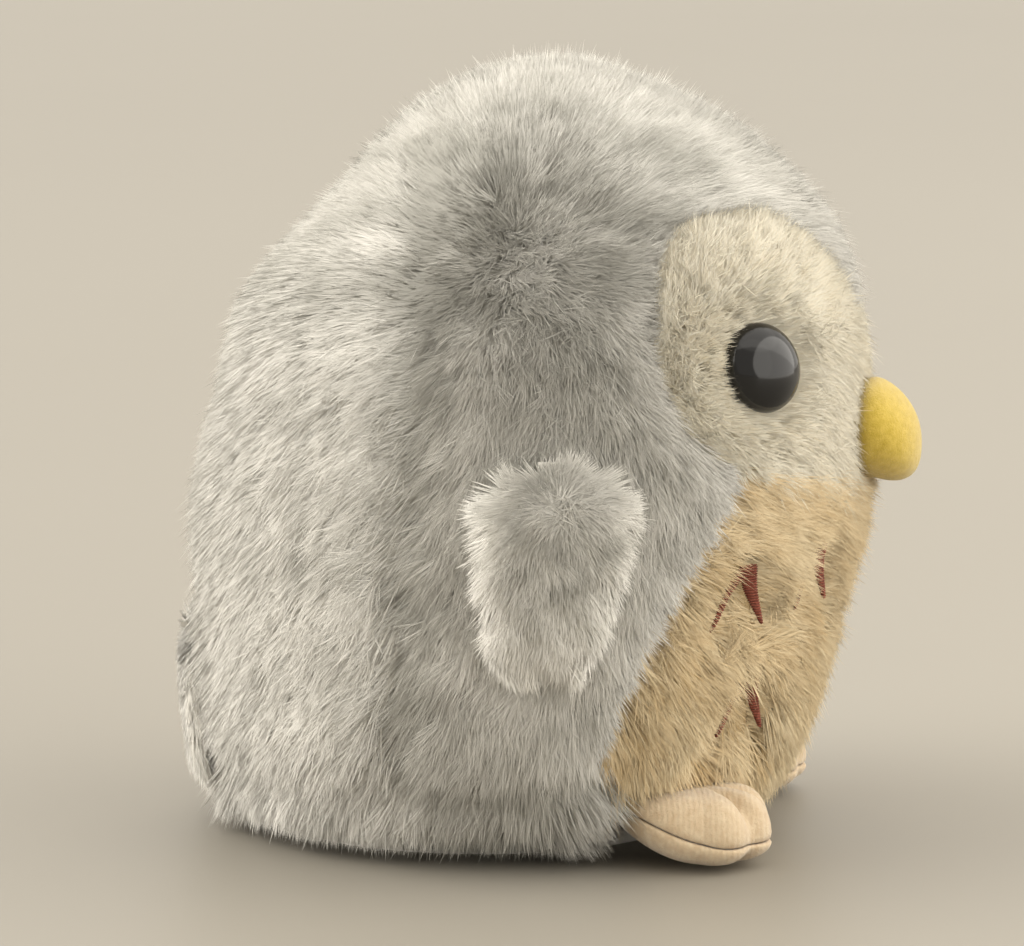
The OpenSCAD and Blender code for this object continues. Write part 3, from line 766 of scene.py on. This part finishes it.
def lay_pile():
    turn, fall = scatter(lambda a, b: np.select(
        [panel_at(a, b) == k for k in PANELS], [PANELS[k][3] for k in PANELS]))
    panel = panel_at(turn, fall)
    p, n = skin(turn, fall), normal(turn, fall)
    mirror = np.where(p[:, :1] > 0, [[-1, 1, 1]], [[1, 1, 1]])
    q, m = p * mirror, n * mirror
    clear = ~bare(q, turn, fall)
    turn, fall, panel = turn[clear], fall[clear], panel[clear]
    p, n, q, m, mirror = p[clear], n[clear], q[clear], m[clear], mirror[clear]
    dip = groove(turn, fall)
    roots = p - n * (PILE + dip)[:, None]
    for kind, (lay, shades, slot, _, width) in PANELS.items():
        for part, chosen in pile_parts(kind, turn, fall):
            k = (panel == kind) & chosen
            lie, lean = lay(q[k], m[k], turn[k], fall[k])
            lie = lie * mirror[k]
            fibre_piece(f"{kind}_fur_{part}", kind, roots[k], n[k], lie, lean, dip[k], q[k],
                        turn[k], fall[k], shades, width)


def pile_parts(kind, turn, fall):
    """Pieces that a panel's pile is cut in: left and right, and high and low on the big ones."""
    halves = [("left", turn >= 0), ("right", turn < 0)]
    if kind in ("side", "back"):
        levels = [("upper", fall < PIECE_CUT), ("lower", fall >= PIECE_CUT)]
        return [(f"{a}_{b}", c & d) for a, c in halves for b, d in levels]
    return halves


def pile_height(kind, q, turn, dip):
    """Height of the pile over its roots and how far a fibre's length may pass the usual limit:
    shorter on the face and round the belly marks, and longer in the dips, on the crest of the
    head, over the flaps' stitches and behind the feet. Also gives the tuft behind the feet."""
    height = PILE * (0.9 if kind == "face" else 1.03) + 0.4 * dip
    if kind == "belly":
        for mark in MARKS:
            height = height * (1 - 0.6 * stroke_distance(q, mark)[3])
    crest = bump(q[:, 0] / 7) * smooth((q[:, 2] - 92) / 10)
    height = height + 1.1 * crest
    flap = smooth((q[:, 2] - 26) / 2) * smooth((37 - q[:, 2]) / 4) * (np.abs(turn) > 160)
    under = smooth((17 - q[:, 2]) / 6) * (np.abs(turn) > 155)
    height = height + 2.6 * flap + 1.5 * under
    turn0, z0 = WING_HINGE
    away = np.linalg.norm(q - skin_at((turn0, fall_at(z0))), axis=-1)
    height = height + 1.6 * bump(away / 5)
    tuft = bump((np.abs(turn) - 64) / 8) * (kind == "band")
    return height + 2.4 * tuft, flap + under + 2 * tuft, tuft


def pile_shade(kind, roots, q, turn, fall, dip):
    """Shade of the pile at each root, from 0 to 1: slow and quick ripples of tone, then painted
    shade in the dips, round the whorl, ahead of the side seam, low on the sides and high on the
    back, and lighter along the cheek."""
    t, z = np.abs(turn), q[:, 2]
    wide = ring(fall)[:, 3] * pi / 180
    # The ripples are random tone; the dip term is painted shade in the hollows of the cloth.
    shade = 0.66 + 0.10 * ripple(roots, 11, 16) + 0.08 * ripple(roots, 3.5, 17) - 0.1 * dip
    if kind == "face":
        shade = 0.7 + 0.06 * ripple(roots, 3.5, 17)
    # Painted shade along the crease of the side seam.
    if kind in ("side", "back"):
        shade = shade - 0.26 * bump((t - side_seam(fall)) * wide / 3.4)
    # Painted shade in a band just ahead of the side seam, strongest low down.
    if kind == "side":
        ahead = (side_seam(fall) - t) * wide
        shade = shade - 0.34 * bump((ahead - 5) / 5.5) * smooth((60 - z) / 30)
    # Painted shade high on the back.
    painted_shade_high_on_back = smooth((z - 72) / 10) * smooth((104 - z) / 10)
    shade = shade - 0.26 * painted_shade_high_on_back * smooth((t - 95) / 15)
    # Painted shade low on the sides and the skirt, towards the front.
    if kind in ("side", "band"):
        shade = shade - 0.3 * smooth((34 - z) / 26) * smooth((112 - t) / 34)
    # Painted shade round the whorl, then a lighter strip along the cheek.
    if kind in ("side", "crown"):
        far = np.linalg.norm(q - skin_at(WHORL) + [0, 12, 10], axis=-1)
        shade = shade - 0.36 * smooth((50 - far) / 34)
        shade = shade + 0.2 * bump((t - cheek(fall)) * wide / 6)
    return shade


def fibre_piece(name, kind, roots, n, lie, lean, dip, q, turn, fall, shades, width):
    """Gives each fibre its own lean, length and shade round those of its place."""
    count = len(roots)
    seed = sum(map(ord, name))
    own = np.random.default_rng(seed)
    cream = kind == "face"
    clump = 2.4 if cream else 3.4
    stir = np.stack([ripple(roots, clump, s) for s in (11, 12, 13)], -1)
    stir = stir * (0.5 if cream else 0.26) + own.normal(0, 0.3 if cream else 0.15, (count, 3))
    lie = tangent(lie + stir, n)
    lean = lean + 6.5 * ripple(roots, clump * 1.3, 14) + own.normal(0, 6, count)
    height, longer, tuft = pile_height(kind, q, turn, dip)
    lean = np.radians(np.clip(lean + 14 * tuft, 0 if cream else 4, 72))
    lean = kept_in(kind, roots, n, lie, lean, height)
    length = np.minimum(height / np.cos(lean), 8.5 + longer) * (1 + 0.05 * ripple(roots, 4, 15))
    length = length * own.uniform(0.80, 1.08, count)
    stray = own.uniform(0, 1, count) < 0.04
    length = np.where(stray, length * 1.22, length)
    shade = pile_shade(kind, roots, q, turn, fall, dip) + own.normal(0, 0.14, count)
    pile(name, roots, n, lie, length, lean, width, shade, shades, "torso", seed)


lay_pile()

# ------------------------------------------------------------------ eyes


def eye(left):
    """Glossy dome with its stem: a profile of radius and height, turned about
    the direction that the eye looks in."""
    side = "left" if left else "right"
    a = np.linspace(0, 90, 28)
    rim, dome = EYE_RADIUS - 0.1, 4.6
    profile = np.concatenate([
        [[0, -5.2], [1.6, -5.2], [2.0, -4.6], [2.0, -0.2], [rim - 0.5, 0], [rim - 0.1, 0.1]],
        np.stack([rim * cosd(a), 0.4 + (dome - 0.4) * sind(a)], -1)])
    axis = eye_axis()
    across = unit(np.cross([0, 0, 1], axis))
    up = np.cross(axis, across)
    centre = skin_at(EYE) - axis * EYE_SINK
    b = np.linspace(0, 360, 73)[None, :, None]
    r, h = profile[:, None, :1], profile[:, None, 1:]
    grid = centre + r * (cosd(b) * across + sind(b) * up) + h * axis
    if left:
        grid = grid * [-1, 1, 1]
    ob = surface(f"eye_{side}", [grid], "torso", EYE_GLOSS)
    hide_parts(f"eye_button_{side}")


eye(False)
eye(True)

# ------------------------------------------------------------------ beak


def beak_grid(shares, inset=0.0):
    """Rings of the beak from its tip, share 0, to its sewn edge, share 1: half a blunt egg that
    droops to the tip."""
    s, b = np.meshgrid(shares, np.linspace(0, 360, 73), indexing="ij")
    a = 90 * s
    swell = np.clip(sind(a), 0, 1)**0.8
    y = -52.4 + inset * cosd(a) + 6.2 * (1 - cosd(a))
    droop = -2.4 * np.clip(cosd(a), 0, 1)**1.2
    return np.stack([(8.5 - inset) * swell * sind(b), y,
                     57 + droop + (7 - inset) * swell * cosd(b)], -1)


def sew_beak():
    shares = np.linspace(0, 1, 30)
    outer, inner = beak_grid(shares), beak_grid(shares, 1.0)
    tail = outer[-1] + [0, 3.0, 0]
    cover = surface("beak_velour", [outer, inner, np.stack([outer[-1], tail]),
                                    np.stack([tail, inner[-1]])], "torso", FELT)
    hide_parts("beak_cover")
    inner = beak_grid(np.linspace(0, 0.97, 24), 1.35)
    end = inner[-1].mean(0)
    core = surface("beak_filling", [inner, np.stack([inner[-1], 0 * inner[-1] + end])], "torso",
                   FIBRE)
    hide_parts("beak_stuffing")


sew_beak()

# ------------------------------------------------------------------ feet


def foot_reach(a):
    """Plan outline at a bearing from the toes: three rounded toes in front."""
    t = np.abs(np.where(a > 180, a - 360, a))
    return 0.97 + np.where(t < 60, 0.11 * np.abs(cosd(4.5 * t)), 0)


def foot_point(a, share, upper, inset=0.0):
    """Point of a foot: share 0 in the middle and 1 at the seam, which is low at the toes and
    high at the heel; the upper domes over it and the sole hangs flat below."""
    pucker = 0.012 * np.sin(np.radians(a) * 46) * smooth((share - 0.7) / 0.3)
    r = share * (foot_reach(a) + pucker)
    x = (10.5 - inset) * r * sind(a)
    back = -(11 - inset) * r * cosd(a)
    rear = smooth((back + 9) / 18)
    dome = np.sqrt(np.clip(1 - share**(6 if upper else 3.2), 0, 1))
    seam = 3.7 + 4.7 * rear
    valley = bump((np.abs(np.where(a > 180, a - 360, a)) - 20) / 7) * smooth((share - 0.3) / 0.4)
    rise = mix(6.9, 2.6, rear) - inset if upper else inset - (seam - 0.3 - 2.6 * rear**2)
    rise = rise * (1 - 0.3 * valley)
    z = seam + (0.02 if upper else -0.02) + rise * dome
    return np.stack([-25 - x * cosd(12) + back * sind(12),
                     -22.8 + back * cosd(12) + x * sind(12), z], -1)


def sew_foot(left):
    side = "left" if left else "right"
    flip = [-1, 1, 1] if left else [1, 1, 1]
    shares = np.array([0, 0.1, 0.25, 0.4, 0.55, 0.68, 0.78, 0.86, 0.92, 0.96, 0.985, 1])
    s, a = np.meshgrid(shares, np.linspace(0, 360, 97), indexing="ij")
    for upper, name in ((True, "upper"), (False, "sole")):
        outer, inner = foot_point(a, s, upper) * flip, foot_point(a, s, upper, 1.2) * flip
        ob = surface(f"foot_{name}_velour_{side}", [outer, inner, np.stack([outer[-1], inner[-1]])],
                     f"foot_{side}", VELOUR, levels=1)
        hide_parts(f"foot_{name}_{side}")
    halves = [foot_point(a, s, up, 1.6) * flip for up in (True, False)]
    core = surface(f"foot_filling_{side}", halves + [np.stack([halves[0][-1], halves[1][-1]])],
                   f"foot_{side}", FIBRE)
    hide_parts(f"foot_stuffing_{side}")


sew_foot(False)
sew_foot(True)

# ------------------------------------------------------------------ wings and tail


def wing_point(s, t, lift):
    """Point of a wing: s from -1 to 1 across it and t down it. The half width in turn narrows to
    the tip as 1 - 0.55 t^1.6 within a squared-off oval, and the top edge dips in the middle."""
    oval = np.sqrt(np.clip(1 - np.abs(2 * t - 1)**6, 0, 1))
    half = 17.0 * (1 - 0.55 * np.clip(t, 0, 1)**1.6) * oval
    dip = 2.2 * cosd(90 * np.clip(s, -1, 1))**2 * (1 - smooth(t / 0.4))
    turn, fall = WING_TURN + s * half, fall_at(mix(WING_TOP, WING_TIP, t) - dip)
    return skin(turn, fall) + normal(turn, fall) * np.asarray(lift)[..., None]


def tail_point(s, t, lift):
    """Point of the tail flap: a rounded oblong hung on the back, s across and t down."""
    z = mix(TAIL_TOP, TAIL_TIP, t)
    half = 13 * (1 - 0.2 * t**3) * np.sqrt(np.clip(1 - t**10, 0, 1))
    r = ring(fall_at(z))
    turn = 180 + np.degrees(np.arcsin(np.clip(s * half / r[..., 3], -1, 1)))
    return skin(turn, fall_at(z)) + np.asarray(lift)[..., None] * [0, 1, 0]


def flap_cloth(name, place, shrink, near, far, rows, columns, body, material, replaced, flip):
    """Closed layer of a flap between two lifts, inside the outline that its pile reaches."""
    s, t = np.meshgrid(np.linspace(-1, 1, columns), np.linspace(0.13, 0.84, rows))
    thick = near + (far - near) * np.sqrt(np.clip(1 - 0.75 * s**4, 0, 1))
    s = s * shrink * mix(0.45, 1, smooth((t - 0.1) / 0.24))
    outer, inner = (place(s, t, lift) * flip for lift in (thick, 0 * s + near))
    ob = surface(name, sheet_grids(outer, inner), body, material)
    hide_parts(replaced)


def flap_pile(name, place, count, spread, body, flip, base, height, lean_in, whorl, down, tone,
              seed):
    """Pile of a flap. Its fibres leave a whorl near the sewn edge, lean more towards the outline,
    and grow lighter there."""
    own = np.random.default_rng(seed)
    s, t = own.uniform(-1, 1, count), own.uniform(0.03, 0.86, count)
    inside = t > 0.03 + 0.22 * s**2
    s, t, count = s[inside] * spread, t[inside], inside.sum()
    e = 0.01
    side, foot = smooth((np.abs(s) / spread - 0.6) / 0.4), smooth((t - 0.68) / 0.18)
    lift = base * (1 - 0.8 * np.maximum(side, foot) * own.uniform(0, 1, count))
    root = place(s, t, lift)
    es = unit(place(s + e, t, lift) - place(s - e, t, lift))
    et = unit(place(s, np.minimum(t + e, 1), lift) - place(s, np.maximum(t - e, 0), lift))
    out = unit(np.cross(et, es))
    out *= np.sign((out * (root - [0, 2, 48])).sum(-1, keepdims=True))
    out = unit(out + (side * np.sign(s))[:, None] * es + 0.7 * foot[:, None] * et)
    width = np.linalg.norm(place(s * 0 + 1, t, lift) - place(s * 0 - 1, t, lift), axis=-1) / 2
    drop = np.linalg.norm(place(0 * s, 0 * t + 0.9, lift) - place(0 * s, 0 * t + 0.1, lift), axis=-1)
    fan = np.stack([s * width, (t - whorl) * drop / 0.8], -1)
    far = np.linalg.norm(fan, axis=-1)
    fan = fan / np.maximum(far, 2)[:, None] + [0, down]
    wild = 0.14 + 0.6 * bump(far / 3)
    stir = [0.28 * ripple(root, 3.2, seed + k) + wild * own.normal(0, 1, count) for k in (1, 2)]
    fan = unit(fan + np.stack(stir, -1))
    lie = tangent(es * fan[:, :1] + et * fan[:, 1:], out)
    rim = smooth((np.maximum(np.abs(s) / spread, t) - 0.5) / 0.42)
    lean = mix(lean_in, 74, rim) + 7 * ripple(root, 3.6, seed + 3) + own.normal(0, 5, count)
    lean = np.radians(np.clip(lean, 8, 86))
    length = np.minimum(height / np.cos(lean), 4.8 + 0.6 * rim) * own.uniform(0.8, 1.08, count)
    pale = smooth((np.maximum(np.abs(s) / spread * (0.5 + 0.7 * t), t) - 0.4) / 0.4)
    shade = mix(tone, 0.98, pale) + 0.12 * ripple(root, 4, seed + 4) + own.normal(0, 0.14, count)
    pile(name, root * flip, out * flip, lie * flip, length, lean, 0.28, shade, GREY, body,
         seed)


def sew_wing(left):
    side = "left" if left else "right"
    flip, body = ([-1, 1, 1] if left else [1, 1, 1]), f"wing_{side}"
    flap_cloth(f"wing_cloth_{side}", wing_point, 0.6, 2.3, 3.1, 30, 22, body, BACKING,
               f"wing_outer_{side}", flip)
    flap_cloth(f"wing_lining_cloth_{side}", wing_point, 0.6, 0.9, 2.0, 30, 22, body,
               BACKING, f"wing_lining_{side}", flip)
    flap_pile(f"wing_fur_{side}", wing_point, 17000, 0.66, body, flip, 2.9, 3.4, 46, 0.22, 0.35,
              0.4, 31 + left)


def sew_tail():
    flap_cloth("tail_cloth", tail_point, 0.74, 1.6, 2.1, 24, 20, "tail", BACKING,
               "tail_outer", [1, 1, 1])
    flap_cloth("tail_lining_cloth", tail_point, 0.74, 0.5, 1.4, 24, 20, "tail",
               BACKING, "tail_lining", [1, 1, 1])
    flap_pile("tail_fur", tail_point, 13000, 0.82, "tail", [1, 1, 1], 1.4, 1.7, 60, 0.1, 0.5, 0.75,
              51)


sew_wing(False)
sew_wing(True)
sew_tail()

# ------------------------------------------------------------------ belly marks


def mark_point(kind, x, z, rise):
    """Point at x across and z up from a mark's middle, at a rise over the backing cloth."""
    turn0, z0 = MARKS[kind]
    turn0, fall0 = np.array(float(turn0)), fall_at(z0)
    across, down = slopes(turn0, fall0)
    turn = turn0 + x / np.linalg.norm(across)
    fall = fall0 - z / np.linalg.norm(down)
    return backing(turn, fall, -rise)


def stitch_mark(kind, left):
    """Two satin-stitched strokes from an apex: each is a flattened tube that tapers to its end,
    with a ridge for every thread laid across it."""
    side = "left" if left else "right"
    flip = [-1, 1, 1] if left else [1, 1, 1]
    u, v = np.meshgrid(np.linspace(0, 1, 200), np.linspace(0, 360, 13), indexing="ij")
    ends = np.clip(u / 0.06, 0, 1)**0.5 * np.clip((1 - u) / 0.04, 0, 1)**0.5
    threads = np.sin(u * 2 * pi * 26)
    wide = (1.15 * (1 - u)**0.9 + 0.16) * ends * (1 + 0.18 * threads)
    tall = (0.30 + 0.08 * (1 - u)) * ends * (1 + 0.35 * threads)
    strokes = []
    for way in (-1, 1):
        x = way * 5.1 * u + wide * cosd(v)
        z = 4.5 - 9 * u + way * 0.35 * wide * cosd(v)
        strokes.append(mark_point(kind, x, z, 2.8 + tall * sind(v)) * flip)
    ob = surface(f"belly_stitches_{kind}_{side}", strokes, "torso", THREAD)
    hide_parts(f"belly_mark_{kind}_{side}")


for kind in MARKS:
    stitch_mark(kind, False)
    stitch_mark(kind, True)

# ------------------------------------------------------------------ filling and underside


def fill_body():
    """Lumpy fibre mass: the skin pushed in, with slow lumps all over."""
    turn, fall = np.meshgrid(np.linspace(-180, 180, 121), np.linspace(0.02, 0.79, 60))
    depth = 1.9 + 0.5 * ripple(skin(turn, fall), 12, 70)
    g = backing(turn, fall, depth)
    g[:, -1] = g[:, 0]
    ends = [np.stack([g[k], np.broadcast_to(g[k].mean(0), g[k].shape)]) for k in (0, -1)]
    ob = surface("body_filling", [g] + ends, "torso", FIBRE)
    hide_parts("body_stuffing")


def oval(scale_x, scale_y, z):
    """Oval ring round the middle of the underside."""
    a = np.linspace(0, 360, 97)
    return np.stack([scale_x * sind(a), 10 - scale_y * cosd(a), z + 0 * a], -1)


def sew_underside():
    edge = [(0, 0), (0.9, 0), (0.965, 0.2), (0.99, 0.7), (1, 1.5), (0.99, 2.3), (0.965, 2.8),
            (0.9, 3), (0, 3)]
    g = np.stack([oval(26.5 * f, 29.5 * f, z) for f, z in edge])
    ob = surface("base_cloth", [g], "torso", BACKING)
    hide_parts("base_panel")
    levels = 0.02 + 0.48 * np.linspace(1, 0, 12)
    for way, name in ((1, "upper"), (-1, "lower")):
        shells = []
        for inset in (0, 0.8):
            h = 0.5 + way * levels
            bulge = 2.2 * sind(180 * h) - 7.2 - inset
            z = mix(3.4 + inset, 14.5 - inset, h)
            rings = [oval(27 + b, 30 + b, k) for b, k in zip(bulge, z)]
            middle = np.broadcast_to([0.0, 10.0, z[0]], rings[0].shape)
            shells.append(np.stack([middle] + rings))
        ob = surface(f"pellet_bag_{name}", shells + [np.stack([shells[0][-1], shells[1][-1]])],
                     "torso", FIBRE)
        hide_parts("pellet_bag")


fill_body()
sew_underside()

for name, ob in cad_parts.items():
    if name == "pellets" or name.startswith("eye_washer"):
        ob.material_slots[0].material = MILKY
    if "stitches" in name:
        ob.material_slots[0].material = GREY_THREAD
